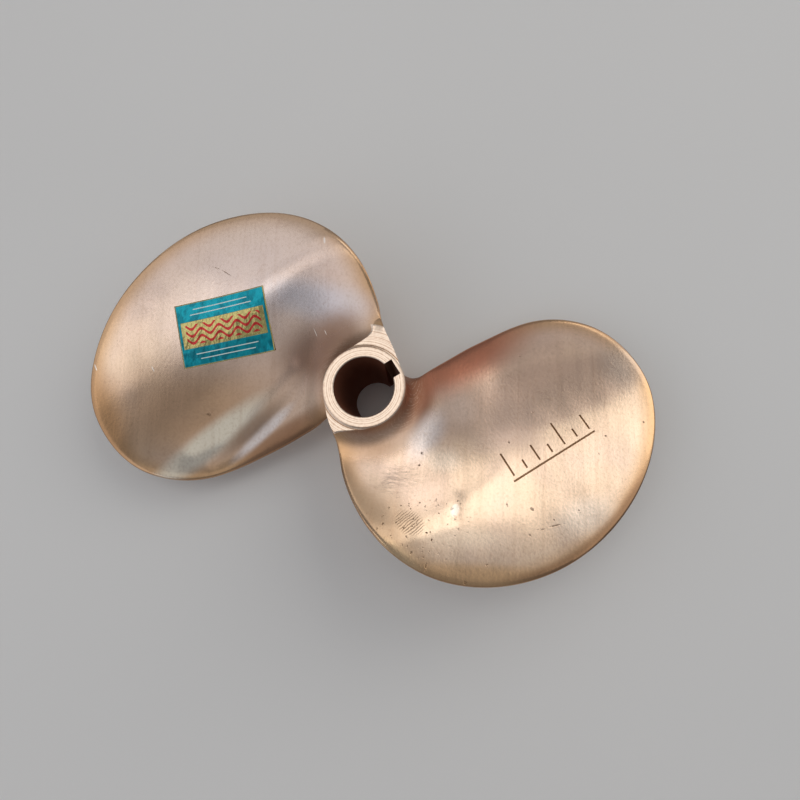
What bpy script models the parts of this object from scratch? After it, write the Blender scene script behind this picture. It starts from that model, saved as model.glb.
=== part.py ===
"""A two-bladed bronze boat propeller: one casting, and the foil label stuck on one of its blades.

The shaft axis is Z, and the blades' tips lie on the X axis. The origin is the centre of the hub's lower
face, which the propeller rests on. Seen from above, a blade falls as it runs round anticlockwise, which
makes the propeller left-handed.
"""
import math

import bmesh
import bpy
from mathutils import Matrix, Vector

# Overall sizes, in metres
DIAMETER = 0.300
PITCH = 0.150
PITCH_AT_ROOT = 0.070
PITCH_EASE_RADIUS = 0.080

# Hub and its tapered bore
HUB_LENGTH = 0.055
HUB_RADIUS = 0.0205
HUB_LOWER_RADIUS = 0.0195
HUB_CHAMFER = 0.0006
BORE_RADIUS = 0.0150
BORE_LOWER_RADIUS = 0.0118

# Keyway, cut along the bore's wall
KEY_WIDTH = 0.0085
KEY_DEPTH = 0.0036
KEY_ANGLE = math.radians(37.0)

# The lathe's facing cut, which also takes the corner off each blade's root
FACING_ALLOWANCE = 0.002
SHOULDER_DROP = 0.0008
SHOULDER_RADIUS = 0.031

# Blades: the tip's height on the upper face, thicknesses, the rim's rounding and the root's fillet
BLADE_COUNT = 2
BLADE_HEIGHT = 0.0322
ROOT_THICKNESS = 0.0105
TIP_THICKNESS = 0.0045
EDGE_THICKNESS = 0.0034
EDGE_ROUNDING = 0.0012
ROOT_FILLET = 0.008

# Blade outline: how far out each station is from hub to tip, and its edges' degrees round from the tip
STATION_SHARES = (0.0, 0.08, 0.17, 0.32, 0.59, 0.81, 0.95)
HIGH_EDGE_ANGLES = (-132.0, -104.0, -94.5, -84.0, -63.5, -40.5, -18.5)
LOW_EDGE_ANGLES = (20.0, 27.0, 30.0, 32.0, 30.5, 23.0, 12.0)

# Foil label, on the upper face of the second blade
LABEL_WIDTH = 0.050
LABEL_HEIGHT = 0.033
LABEL_THICKNESS = 0.0003
LABEL_RADIUS = 0.084
LABEL_ANGLE = math.radians(-19.7)
LABEL_TURN = math.radians(14.0)

# Clearance between the label and the blade
SKIN_GAP = 0.0004

# How finely the curves are divided; the outermost section stops a share of a step short of the tip
HUB_SEGMENTS = 48
RADIAL_STEPS = 20
CHORD_STEPS = 16
FILLET_STEPS = 5
NOSE_STEPS = 3
LABEL_STEPS = 8
LAST_STEP_SHARE = 0.3

TIP_RADIUS = DIAMETER / 2


def smooth_share(value, start, end):
    """Return how far a value is from start to end, from 0 to 1, easing in and out."""
    share = min(max((value - start) / (end - start), 0.0), 1.0)
    return share * share * (3.0 - 2.0 * share)


def blend(start, end, share):
    """Return the value at a share of the way from start to end."""
    return start + (end - start) * share


def hub_radius_at(height):
    """Return the hub's radius at a height."""
    return blend(HUB_LOWER_RADIUS, HUB_RADIUS, height / HUB_LENGTH)


def upper_face_height(radius, angle):
    """Return the height of a blade's upper face at a radius and at an angle from its tip."""
    pitch = blend(PITCH_AT_ROOT, PITCH, smooth_share(radius, HUB_RADIUS, PITCH_EASE_RADIUS))
    return BLADE_HEIGHT - pitch * angle / math.tau


def edge_angle(step):
    """Return the outline's angle at a step from -1, the high edge's root, by 0, the tip, to 1.

    The stations are joined by a cubic curve whose slope at each one comes from its neighbours.
    """
    steps = [1.0 - math.asin(share) * 2.0 / math.pi for share in STATION_SHARES]
    places = [-place for place in steps] + [0.0] + list(reversed(steps))
    angles = [math.radians(angle) for angle in (*HIGH_EDGE_ANGLES, 0.0, *reversed(LOW_EDGE_ANGLES))]
    index = max(number for number in range(len(places) - 1) if places[number] <= step or number == 0)

    def slope_at(number):
        first, last = max(number - 1, 0), min(number + 1, len(places) - 1)
        return (angles[last] - angles[first]) / (places[last] - places[first])

    width = places[index + 1] - places[index]
    share = (step - places[index]) / width
    rise = angles[index + 1] - angles[index]
    start_slope, end_slope = slope_at(index) * width, slope_at(index + 1) * width
    bend = start_slope + end_slope - 2.0 * rise
    return angles[index] + share * (start_slope + share * (rise - start_slope - bend + share * bend))


def root_flare(radius, height):
    """Return how far the root's fillet stands off the blade at a radius, beside the hub at a height."""
    inset = min(max(ROOT_FILLET - (radius - hub_radius_at(height)), 0.0), ROOT_FILLET)
    return ROOT_FILLET - math.sqrt(ROOT_FILLET**2 - inset**2)


def blade_thickness(radius, across):
    """Return the blade's thickness at a radius, from -1 at one edge, by 0 at mid-chord, to 1."""
    share = (radius - HUB_RADIUS) / (TIP_RADIUS - HUB_RADIUS)
    middle = blend(ROOT_THICKNESS, TIP_THICKNESS, share)
    return blend(EDGE_THICKNESS, middle, 1.0 - across**2)


def blade_section(radius, step):
    """Return the points of the blade's section on a cylinder round the shaft, as one closed loop."""
    bare_start, bare_end = edge_angle(-step), edge_angle(step)
    start_flare = root_flare(radius, upper_face_height(radius, bare_start))
    end_flare = root_flare(radius, upper_face_height(radius, bare_end))
    start, end = bare_start - start_flare / radius, bare_end + end_flare / radius
    middle, half = (start + end) / 2.0, (end - start) / 2.0

    def face_heights(angle):
        upper = upper_face_height(radius, angle)
        lower = upper - blade_thickness(radius, (angle - middle) / half)
        return upper + root_flare(radius, upper), lower - root_flare(radius, lower)

    def nose(edge, rounding, outward):
        upper, lower = face_heights(edge)
        drop = min(rounding * radius, (upper - lower) / 2.0)
        turns = [math.pi / 2.0 * index / NOSE_STEPS for index in range(1, NOSE_STEPS + 1)]
        corner = [(edge - outward * rounding * (1.0 - math.sin(turn)), drop * (1.0 - math.cos(turn)))
                  for turn in turns]
        upper_part = [(place, upper - depth) for place, depth in corner]
        lower_part = [(place, lower + depth) for place, depth in reversed(corner)]
        return upper_part + lower_part

    start_rounding = min((EDGE_ROUNDING + start_flare) / radius, half / 2.0)
    end_rounding = min((EDGE_ROUNDING + end_flare) / radius, half / 2.0)
    shares = [index / CHORD_STEPS for index in range(CHORD_STEPS + 1)]
    stops = [blend(start + start_rounding, end - end_rounding, share) for share in shares]
    upper_side = [(angle, face_heights(angle)[0]) for angle in stops]
    lower_side = [(angle, face_heights(angle)[1]) for angle in reversed(stops)]
    low_nose = nose(end, end_rounding, 1.0)
    high_nose = list(reversed(nose(start, start_rounding, -1.0)))
    loop = upper_side + low_nose + lower_side + high_nose
    return [Vector((radius * math.cos(angle), radius * math.sin(angle), height)) for angle, height in loop]


def section_stations():
    """Return the radius and the outline step of every section, from inside the hub to the tip."""
    stations = [((BORE_RADIUS + HUB_LOWER_RADIUS) / 2.0, 1.0)]
    span = TIP_RADIUS - HUB_RADIUS
    fillet_end = HUB_RADIUS + ROOT_FILLET
    for index in range(FILLET_STEPS):
        share = 1.0 - math.cos(math.pi / 2.0 * index / FILLET_STEPS)
        radius = blend(HUB_LOWER_RADIUS, fillet_end, share)
        outward = max(radius - HUB_RADIUS, 0.0)
        stations.append((radius, 1.0 - math.asin(outward / span) * 2.0 / math.pi))
    first = math.asin(ROOT_FILLET / span)
    for index in [*range(RADIAL_STEPS), RADIAL_STEPS - LAST_STEP_SHARE]:
        turn = blend(first, math.pi / 2.0, index / RADIAL_STEPS)
        stations.append((HUB_RADIUS + span * math.sin(turn), 1.0 - turn * 2.0 / math.pi))
    return stations


def material(name, colour, metallic, roughness):
    """Return a Principled material."""
    made = bpy.data.materials.new(name)
    made.use_nodes = True
    shader = made.node_tree.nodes["Principled BSDF"]
    shader.inputs["Base Color"].default_value = (*colour, 1.0)
    shader.inputs["Metallic"].default_value = metallic
    shader.inputs["Roughness"].default_value = roughness
    made.diffuse_color = (*colour, 1.0)
    return made


def link_mesh(name, shape, surface=None):
    """Turn a bmesh into a linked object with its faces pointing out."""
    bmesh.ops.recalc_face_normals(shape, faces=shape.faces)
    mesh = bpy.data.meshes.new(name)
    shape.to_mesh(mesh)
    shape.free()
    if surface:
        mesh.materials.append(surface)
    made = bpy.data.objects.new(name, mesh)
    bpy.context.scene.collection.objects.link(made)
    return made


def hide_guide(guide):
    """Mark an object as a guide that only shapes another."""
    guide.hide_render = True
    guide.display_type = "WIRE"
    return guide


def turned_solid(name, profile, surface=None):
    """Spin a profile of (radius, height) points, both ends on the axis, into a closed solid."""
    shape = bmesh.new()
    points = [shape.verts.new((radius, 0.0, height)) for radius, height in profile]
    edges = [shape.edges.new(pair) for pair in zip(points, points[1:])]
    bmesh.ops.spin(shape, geom=points + edges, cent=(0, 0, 0), axis=(0, 0, 1), angle=math.tau,
                   steps=HUB_SEGMENTS, use_merge=True)
    bmesh.ops.remove_doubles(shape, verts=shape.verts, dist=1e-6)
    return link_mesh(name, shape, surface)


def build_blade(number):
    """Loft one blade through its sections and turn it to its place."""
    shape = bmesh.new()
    loops = [[shape.verts.new(point) for point in blade_section(*station)] for station in section_stations()]
    for inner, outer in zip(loops, loops[1:]):
        for index in range(len(inner)):
            after = (index + 1) % len(inner)
            shape.faces.new((inner[index], outer[index], outer[after], inner[after]))
    shape.faces.new(loops[0])
    shape.faces.new(loops[-1])
    turn = Matrix.Rotation(math.tau * number / BLADE_COUNT, 3, "Z")
    bmesh.ops.transform(shape, matrix=turn.to_4x4(), verts=shape.verts)
    bmesh.ops.triangulate(shape, faces=shape.faces)
    return hide_guide(link_mesh(f"blade_guide_{number}", shape))


def build_hub(surface):
    """Turn the hub's blank, longer than the hub by the facing allowance."""
    blank_length = HUB_LENGTH + FACING_ALLOWANCE
    slope = (HUB_RADIUS - HUB_LOWER_RADIUS) / HUB_LENGTH
    profile = [
        (0.0, blank_length),
        (HUB_RADIUS + slope * FACING_ALLOWANCE, blank_length),
        (HUB_LOWER_RADIUS + slope * HUB_CHAMFER, HUB_CHAMFER),
        (HUB_LOWER_RADIUS - HUB_CHAMFER, 0.0),
        (0.0, 0.0),
    ]
    return turned_solid("propeller_casting", profile, surface)


def build_facing_cutter():
    """Turn the shape that the lathe cuts away above the hub and round its upper end."""
    top = HUB_LENGTH + DIAMETER
    shoulder = HUB_LENGTH - SHOULDER_DROP
    profile = [
        (0.0, top),
        (SHOULDER_RADIUS, top),
        (SHOULDER_RADIUS, shoulder),
        (HUB_RADIUS, shoulder),
        (HUB_RADIUS, HUB_LENGTH - HUB_CHAMFER),
        (HUB_RADIUS - HUB_CHAMFER, HUB_LENGTH),
        (0.0, HUB_LENGTH),
    ]
    return hide_guide(turned_solid("facing_guide", profile))


def build_bore_cutter():
    """Turn the tapered bore's cutter, run on past both faces of the hub."""
    slope = (BORE_RADIUS - BORE_LOWER_RADIUS) / HUB_LENGTH
    profile = [
        (0.0, 2.0 * HUB_LENGTH),
        (BORE_RADIUS + slope * HUB_LENGTH, 2.0 * HUB_LENGTH),
        (BORE_LOWER_RADIUS - slope * HUB_LENGTH, -HUB_LENGTH),
        (0.0, -HUB_LENGTH),
    ]
    return hide_guide(turned_solid("bore_guide", profile))


def build_keyway_cutter():
    """Make the keyway's cutter, whose outer face follows the bore's taper."""
    slope = (BORE_RADIUS - BORE_LOWER_RADIUS) / HUB_LENGTH
    shape = bmesh.new()
    bmesh.ops.create_cube(shape, size=1.0)
    for vert in shape.verts:
        height = blend(-HUB_LENGTH, 2.0 * HUB_LENGTH, vert.co.z + 0.5)
        outer = BORE_LOWER_RADIUS + slope * height + KEY_DEPTH
        vert.co = Vector((outer * (vert.co.x + 0.5), KEY_WIDTH * vert.co.y, height))
    bmesh.ops.rotate(shape, cent=(0, 0, 0), matrix=Matrix.Rotation(KEY_ANGLE, 3, "Z"), verts=shape.verts)
    return hide_guide(link_mesh("keyway_guide", shape))


def build_casting(surface):
    """Join hub and blades into one casting, then face it, bore it and cut its keyway."""
    casting = build_hub(surface)
    cuts = [(build_blade(number), "UNION") for number in range(BLADE_COUNT)]
    cuts += [(build_facing_cutter(), "DIFFERENCE"), (build_bore_cutter(), "DIFFERENCE")]
    cuts += [(build_keyway_cutter(), "DIFFERENCE")]
    for guide, operation in cuts:
        step = casting.modifiers.new(guide.name, "BOOLEAN")
        step.operation = operation
        step.object = guide
    return casting


def build_label(surface):
    """Lay the foil label over the second blade's upper face, a gap above it."""
    turn = Matrix.Rotation(LABEL_TURN, 2)
    centre = Vector((LABEL_RADIUS * math.cos(LABEL_ANGLE), LABEL_RADIUS * math.sin(LABEL_ANGLE)))
    shape = bmesh.new()
    sheets = []
    for lift in (SKIN_GAP, SKIN_GAP + LABEL_THICKNESS):
        rows = []
        for row in range(LABEL_STEPS + 1):
            verts = []
            for column in range(LABEL_STEPS + 1):
                across = LABEL_WIDTH * (column / LABEL_STEPS - 0.5)
                up = LABEL_HEIGHT * (row / LABEL_STEPS - 0.5)
                place = centre + turn @ Vector((across, up))
                height = upper_face_height(place.length, math.atan2(place.y, place.x)) + lift
                verts.append(shape.verts.new((place.x, place.y, height)))
            rows.append(verts)
        sheets.append(rows)
    for rows in sheets:
        for low, high in zip(rows, rows[1:]):
            for index in range(LABEL_STEPS):
                shape.faces.new((low[index], low[index + 1], high[index + 1], high[index]))
    lower_rim, upper_rim = (label_rim(rows) for rows in sheets)
    for index in range(len(lower_rim)):
        after = (index + 1) % len(lower_rim)
        shape.faces.new((lower_rim[index], lower_rim[after], upper_rim[after], upper_rim[index]))
    bmesh.ops.rotate(shape, cent=(0, 0, 0), matrix=Matrix.Rotation(math.tau / BLADE_COUNT, 3, "Z"),
                     verts=shape.verts)
    bmesh.ops.triangulate(shape, faces=shape.faces)
    return link_mesh("foil_label", shape, surface)


def label_rim(rows):
    """Return a sheet's outer points in order round its edge."""
    left_side = [row[0] for row in reversed(rows[1:-1])]
    right_side = [row[-1] for row in rows[1:-1]]
    return rows[0] + right_side + list(reversed(rows[-1])) + left_side


def main():
    """Clear the scene and build the propeller."""
    for old in list(bpy.data.objects):
        bpy.data.objects.remove(old, do_unlink=True)
    bronze = material("bronze", (0.72, 0.45, 0.28), 1.0, 0.35)
    foil = material("foil", (0.02, 0.36, 0.40), 0.4, 0.3)
    build_casting(bronze)
    build_label(foil)


if __name__ == "__main__":
    main()
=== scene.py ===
"""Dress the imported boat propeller: a finer casting and its foil label, their finishes, floor and light.

Lengths are in metres, in the part's own frame. The shaft axis is Z, the blades' tips lie on the X axis, and
the propeller rests with its hub's lower face on the floor at height 0.
"""
import logging
import math
from dataclasses import dataclass, field
from enum import Enum
from typing import Any

import bmesh
import bpy
import numpy as np
from mathutils import Matrix, Vector, noise


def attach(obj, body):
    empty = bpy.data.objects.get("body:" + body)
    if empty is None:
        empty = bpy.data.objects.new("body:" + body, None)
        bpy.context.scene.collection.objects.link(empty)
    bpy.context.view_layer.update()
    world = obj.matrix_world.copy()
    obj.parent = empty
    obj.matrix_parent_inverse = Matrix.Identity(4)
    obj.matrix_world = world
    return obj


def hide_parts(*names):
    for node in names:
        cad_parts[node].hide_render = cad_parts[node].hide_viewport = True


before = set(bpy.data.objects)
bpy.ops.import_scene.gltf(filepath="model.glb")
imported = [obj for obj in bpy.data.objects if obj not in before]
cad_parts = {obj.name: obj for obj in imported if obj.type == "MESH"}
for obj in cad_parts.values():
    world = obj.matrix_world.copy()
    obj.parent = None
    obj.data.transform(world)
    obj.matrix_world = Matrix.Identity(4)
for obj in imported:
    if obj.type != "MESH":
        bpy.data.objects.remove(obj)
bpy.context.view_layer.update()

LOG = logging.getLogger("propeller")
WELD_DISTANCE = 1e-6
GRINDING_STRETCH = 0.6
ROWS_AT_ONCE = 4000
ROUGH_LAYER = 0.01
FOIL_LAYER = 0.3
FACE_HEIGHT = 0.04
UPRIGHT_REACH = 0.09

Plan = tuple[float, float]
Space = tuple[float, float, float]
Colour = tuple[float, float, float]


class Cut(Enum):
    """How a guide shape is joined to the casting, by Blender's name."""

    ADD = "UNION"
    TAKE_AWAY = "DIFFERENCE"


def blend(start: float, end: float, share: float) -> float:
    """Return the value at a share of the way from start to end."""
    return start + (end - start) * share


def smooth_share(value: float, start: float, end: float) -> float:
    """Return how far a value is from start to end, from 0 to 1, easing in and out."""
    share = min(max((value - start) / (end - start), 0.0), 1.0)
    return share * share * (3.0 - 2.0 * share)


def ground_noise(place: Vector, length: float, layer: float) -> float:
    """Return noise that is stretched across the grinding, taken from a layer of its own."""
    return noise.noise(Vector((place.x, place.y * GRINDING_STRETCH, layer)) / length)


def turn_round_shaft(shape: bmesh.types.BMesh, angle: float) -> None:
    """Turn a whole bmesh round the shaft axis by an angle in radians."""
    bmesh.ops.rotate(shape, verts=shape.verts, cent=(0, 0, 0), matrix=Matrix.Rotation(angle, 3, "Z"))


def link_mesh(name: str, shape: bmesh.types.BMesh) -> bpy.types.Object:
    """Turn a bmesh into a linked object whose faces point out.

    Args:
        name: The object's and the mesh's name.
        shape: The bmesh, which is freed.

    Returns:
        The new object, at the origin.
    """
    bmesh.ops.remove_doubles(shape, verts=shape.verts, dist=WELD_DISTANCE)
    bmesh.ops.recalc_face_normals(shape, faces=shape.faces)
    mesh = bpy.data.meshes.new(name)
    shape.to_mesh(mesh)
    shape.free()
    made = bpy.data.objects.new(name, mesh)
    bpy.context.scene.collection.objects.link(made)
    return made


def smooth_faces(mesh: bpy.types.Mesh, crease: float) -> None:
    """Shade a mesh smooth, with an edge kept sharp where its faces meet at more than the crease angle.

    Args:
        mesh: The mesh to shade.
        crease: The crease angle in radians.
    """
    shape = bmesh.new()
    shape.from_mesh(mesh)
    for face in shape.faces:
        face.smooth = True
    for edge in shape.edges:
        edge.smooth = len(edge.link_faces) == 2 and edge.calc_face_angle() < crease
    shape.to_mesh(mesh)
    shape.free()


@dataclass(frozen=True)
class Hollow:
    """A shallow trough that grinding has left in an upper face, along a course in the blade's own frame."""

    course: tuple[Plan, ...]
    width: float
    depth: float

    def depth_at(self, place: Vector) -> float:
        """Work out how deep the trough is at a place.

        Args:
            place: The place in plan.

        Returns:
            The depth.
        """
        nearest = math.inf
        for start, end in zip(self.course, self.course[1:]):
            first, way = Vector(start), Vector(end) - Vector(start)
            share = min(max((place - first).dot(way) / max(way.length_squared, WELD_DISTANCE**2), 0.0), 1.0)
            nearest = min(nearest, (place - first - way * share).length)
        return self.depth * math.exp(-(nearest / self.width)**2)


@dataclass(frozen=True)
class RoughPatch:
    """A round patch of an upper face that is left uneven, in the blade's own frame."""

    centre: Plan
    reach: float
    height: float
    length: float

    def height_at(self, place: Vector) -> float:
        """Work out how far the patch's unevenness stands up at a place.

        Args:
            place: The place in plan.

        Returns:
            The height, below zero in a dip.
        """
        share = smooth_share((place - Vector(self.centre)).length, self.reach, 0.0)
        if share == 0.0:
            return 0.0
        return self.height * share * ground_noise(place, self.length, ROUGH_LAYER)


@dataclass(frozen=True)
class BladeForm:
    """One blade's form, as sections on cylinders round the shaft, with its tip on the X axis."""

    hub_radius: float = 0.0205
    hub_lower_radius: float = 0.0195
    hub_length: float = 0.055
    inner_radius: float = 0.01725
    tip_radius: float = 0.150
    tip_height: float = 0.0322
    pitch: float = 0.150
    root_pitch: float = 0.070
    pitch_ease_start: float = 0.0205
    pitch_ease_radius: float = 0.080
    root_thickness: float = 0.0105
    tip_thickness: float = 0.0045
    edge_thickness: float = 0.0034
    edge_rounding: float = 0.0012
    root_fillet: float = 0.010
    station_shares: tuple[float, ...] = (0.0, 0.08, 0.17, 0.32, 0.59, 0.81, 0.95)
    high_edge_degrees: tuple[float, ...] = (-132.0, -104.0, -94.5, -84.0, -63.5, -40.5, -18.5)
    low_edge_degrees: tuple[float, ...] = (20.0, 27.0, 30.0, 32.0, 30.5, 23.0, 12.0)
    roll_off_drop: float = 0.0007
    roll_off_width: float = 0.0055
    wave_height: float = 0.00022
    wave_length: float = 0.030
    wave_place: float = 0.0
    fine_wave_ratio: float = 2.3
    fine_wave_share: float = 0.35
    hollows: tuple[Hollow, ...] = ()
    rough_patches: tuple[RoughPatch, ...] = ()
    radial_steps: int = 100
    chord_steps: int = 84
    nose_steps: int = 5
    fillet_steps: int = 12

    def edge_angle(self, step: float) -> float:
        """Return the outline's angle from the tip.

        Args:
            step: The place on the outline, from -1 at the high edge's root, by 0 at the tip, to 1.

        Returns:
            The angle in radians, on a cubic curve through the stations.
        """
        steps = [1.0 - math.asin(share) * 2.0 / math.pi for share in self.station_shares]
        places = [-place for place in steps] + [0.0] + list(reversed(steps))
        degrees = (*self.high_edge_degrees, 0.0, *reversed(self.low_edge_degrees))
        angles = [math.radians(angle) for angle in degrees]
        index = max(number for number in range(len(places) - 1) if places[number] <= step or number == 0)

        def slope_at(number: int) -> float:
            """Return the curve's slope at a station, from its neighbours."""
            first, last = max(number - 1, 0), min(number + 1, len(places) - 1)
            return (angles[last] - angles[first]) / (places[last] - places[first])

        width = places[index + 1] - places[index]
        share = (step - places[index]) / width
        rise = angles[index + 1] - angles[index]
        start_slope, end_slope = slope_at(index) * width, slope_at(index + 1) * width
        bend = start_slope + end_slope - 2.0 * rise
        return angles[index] + share * (start_slope + share * (rise - start_slope - bend + share * bend))

    def helix_height(self, radius: float, angle: float) -> float:
        """Return the upper face's height at a radius and at an angle from the tip, before hand grinding."""
        share = smooth_share(radius, self.pitch_ease_start, self.pitch_ease_radius)
        return self.tip_height - blend(self.root_pitch, self.pitch, share) * angle / math.tau

    def ground_wave(self, x: float, y: float) -> float:
        """Work out how far hand grinding has moved the upper face at a place.

        Args:
            x: The place's first coordinate in the blade's own frame.
            y: Its second coordinate.

        Returns:
            The height of the waves and the rough patches, less the hollows' depth.
        """
        place = Vector((x / self.wave_length, y / self.wave_length, self.wave_place))
        fine = noise.noise(place * self.fine_wave_ratio) * self.fine_wave_share
        eased = smooth_share(math.hypot(x, y), self.hub_radius + self.root_fillet, 2.0 * self.hub_radius)
        flat = Vector((x, y))
        worn = sum(hollow.depth_at(flat) for hollow in self.hollows)
        uneven = sum(patch.height_at(flat) for patch in self.rough_patches)
        return (self.wave_height * (noise.noise(place) + fine) + uneven - worn) * eased

    def face_height(self, x: float, y: float) -> float:
        """Return the ground upper face's height at a place."""
        return self.helix_height(math.hypot(x, y), math.atan2(y, x)) + self.ground_wave(x, y)

    def root_flare(self, radius: float, height: float) -> float:
        """Work out how far the root's fillet stands off the blade.

        Args:
            radius: The distance from the shaft axis.
            height: The height at which the blade meets the tapered hub.

        Returns:
            The fillet's height over the bare blade.
        """
        hub = blend(self.hub_lower_radius, self.hub_radius, height / self.hub_length)
        inset = min(max(self.root_fillet - (radius - hub), 0.0), self.root_fillet)
        return self.root_fillet - math.sqrt(self.root_fillet**2 - inset**2)

    def thickness(self, radius: float, across: float) -> float:
        """Work out the blade's thickness.

        Args:
            radius: The distance from the shaft axis.
            across: The place on the section, from -1 at one edge, by 0 at mid-chord, to 1 at the other.

        Returns:
            The thickness.
        """
        share = (radius - self.hub_radius) / (self.tip_radius - self.hub_radius)
        middle = blend(self.root_thickness, self.tip_thickness, share)
        return blend(self.edge_thickness, middle, 1.0 - across**2)

    def stations(self) -> list[tuple[float, float]]:
        """Space the blade's sections, closest in the root's fillet and at the tip.

        Returns:
            The radius and the outline step of every section, from inside the hub to the tip.
        """
        span = self.tip_radius - self.hub_radius
        made = [(self.inner_radius, 1.0)]
        for index in range(self.fillet_steps):
            share = 1.0 - math.cos(math.pi / 2.0 * index / self.fillet_steps)
            radius = blend(self.hub_lower_radius, self.hub_radius + self.root_fillet, share)
            outward = max(radius - self.hub_radius, 0.0)
            made.append((radius, 1.0 - math.asin(outward / span) * 2.0 / math.pi))
        first = math.asin(self.root_fillet / span)
        for index in range(self.radial_steps + 1):
            turn = blend(first, math.pi / 2.0, index / self.radial_steps)
            made.append((self.hub_radius + span * math.sin(turn), 1.0 - turn * 2.0 / math.pi))
        return made

    def edges_at(self, radius: float, step: float) -> tuple[float, float, float, float]:
        """Return a section's start and end angle, and the rounding of each of its two edges.

        Args:
            radius: The section's radius.
            step: The section's outline step, from 1 at the root to 0 at the tip.

        Returns:
            The start and the end angle with the root's fillet added, then the start's and the end's rounding.
        """
        bare = self.edge_angle(-step), self.edge_angle(step)
        flares = [self.root_flare(radius, self.helix_height(radius, angle)) for angle in bare]
        start, end = bare[0] - flares[0] / radius, bare[1] + flares[1] / radius
        return start, end, self.edge_rounding + flares[0], self.edge_rounding + flares[1]

    def outline(self) -> np.ndarray:
        """Trace the blade's outline in plan.

        Returns:
            Rows of x and y, from the high edge's root round the tip to the low edge's root.
        """
        sides: list[list[Plan]] = [[], []]
        for radius, step in self.stations()[1:]:
            for side, angle in zip(sides, self.edges_at(radius, step)[:2]):
                side.append((radius * math.cos(angle), radius * math.sin(angle)))
        return np.array(sides[0] + list(reversed(sides[1][:-1])))

    def rim_distance(self, points: np.ndarray) -> np.ndarray:
        """Return each point's distance in plan to the blade's outline.

        Args:
            points: Rows of x and y in the blade's own frame.

        Returns:
            One distance a row.
        """
        line = self.outline()
        starts, ways = line[:-1], np.diff(line, axis=0)
        lengths = np.maximum((ways**2).sum(axis=1), WELD_DISTANCE**2)
        found = []
        for part in np.array_split(points, max(len(points) // ROWS_AT_ONCE, 1)):
            offsets = part[:, None, :] - starts[None, :, :]
            shares = np.clip((offsets * ways).sum(axis=2) / lengths, 0.0, 1.0)
            found.append(np.linalg.norm(offsets - shares[:, :, None] * ways, axis=2).min(axis=1))
        return np.concatenate(found)

    def section_stops(self, radius: float, step: float) -> list[tuple[float, float, float]]:
        """Return a section's stops from its high to its low edge.

        Args:
            radius: The section's radius.
            step: The section's outline step.

        Returns:
            For each stop its angle, its distance along the arc to the nearer edge, and that edge's rounding.
        """
        start, end, start_rounding, end_rounding = self.edges_at(radius, step)
        half = (end - start) / 2.0 * radius
        start_nose, end_nose = min(start_rounding, half / 2.0), min(end_rounding, half / 2.0)
        turns = [math.pi / 2.0 * index / self.nose_steps for index in range(self.nose_steps)]
        insets = [1.0 - math.cos(turn) for turn in turns]
        places = [start_nose * inset for inset in insets]
        inner = [index / self.chord_steps for index in range(self.chord_steps + 1)]
        places += [blend(start_nose, 2.0 * half - end_nose, share) for share in inner]
        places += [2.0 * half - end_nose * inset for inset in reversed(insets)]
        stops = []
        for place in places:
            nearer_start = place < half
            to_edge = place if nearer_start else 2.0 * half - place
            stops.append((start + place / radius, to_edge, start_rounding if nearer_start else end_rounding))
        return stops

    def build(self, name: str, turn: float) -> bpy.types.Object:
        """Loft the blade through its sections.

        Args:
            name: The guide object's name.
            turn: The angle round the shaft that the finished blade is turned by.

        Returns:
            The blade as a closed guide solid that runs on into the hub.
        """
        rows = [(radius, self.section_stops(radius, step)) for radius, step in self.stations()]
        flat = [(radius, *stop) for radius, stops in rows for stop in stops]
        places = np.array([(radius * math.cos(angle), radius * math.sin(angle))
                           for radius, angle, _, _ in flat])
        plan_distances = self.rim_distance(places)
        count = len(rows[0][1])
        eased_end = self.hub_radius + 2.0 * self.root_fillet
        points: list[tuple[Vector, Vector]] = []
        for number, ((radius, angle, along_arc, rounding), (x, y)) in enumerate(zip(flat, places)):
            row_start = number // count * count
            first, last = flat[row_start][1], flat[row_start + count - 1][1]
            across = (2.0 * angle - first - last) / max(last - first, WELD_DISTANCE)
            away = smooth_share(radius, self.hub_radius + self.root_fillet, eased_end)
            distance = blend(along_arc, float(plan_distances[number]), away)
            helix = self.helix_height(radius, angle)
            upper = helix + self.root_flare(radius, helix)
            bottom = helix - self.thickness(radius, across)
            lower = bottom - self.root_flare(radius, bottom)
            inset = max(1.0 - distance / rounding, 0.0)
            drop = min(rounding, (upper - lower) / 2.0) * (1.0 - math.sqrt(1.0 - min(inset, 1.0)**2))
            rolled = self.roll_off_drop * max(1.0 - distance / self.roll_off_width, 0.0)**2 * away
            top = upper + self.ground_wave(x, y) - rolled - drop
            points.append((Vector((x, y, top)), Vector((x, y, lower + drop))))
        return self.skin(name, points, len(rows), count, turn)

    def skin(self, name: str, points: list[tuple[Vector, Vector]], row_count: int, column_count: int,
             turn: float) -> bpy.types.Object:
        """Wrap a grid round the sections, weld it and close its end inside the hub.

        Args:
            name: The guide object's name.
            points: The upper and the lower point of every stop, row by row.
            row_count: How many sections there are.
            column_count: How many stops each section has.
            turn: The angle round the shaft that the finished blade is turned by.

        Returns:
            The blade as a closed guide solid.
        """
        shape = bmesh.new()
        around = 2 * column_count
        bmesh.ops.create_grid(shape, x_segments=around, y_segments=row_count - 1, size=0.5)
        for vert in shape.verts:
            column = round((vert.co.x + 0.5) * around) % around
            row = round((vert.co.y + 0.5) * (row_count - 1))
            below = column >= column_count
            stop = around - 1 - column if below else column
            vert.co = points[row * column_count + stop][int(below)]
        bmesh.ops.remove_doubles(shape, verts=shape.verts, dist=WELD_DISTANCE)
        bmesh.ops.holes_fill(shape, edges=[edge for edge in shape.edges if edge.is_boundary], sides=0)
        turn_round_shaft(shape, turn)
        bmesh.ops.triangulate(shape, faces=[face for face in shape.faces if len(face.verts) > 4])
        return link_mesh(name, shape)


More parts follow.
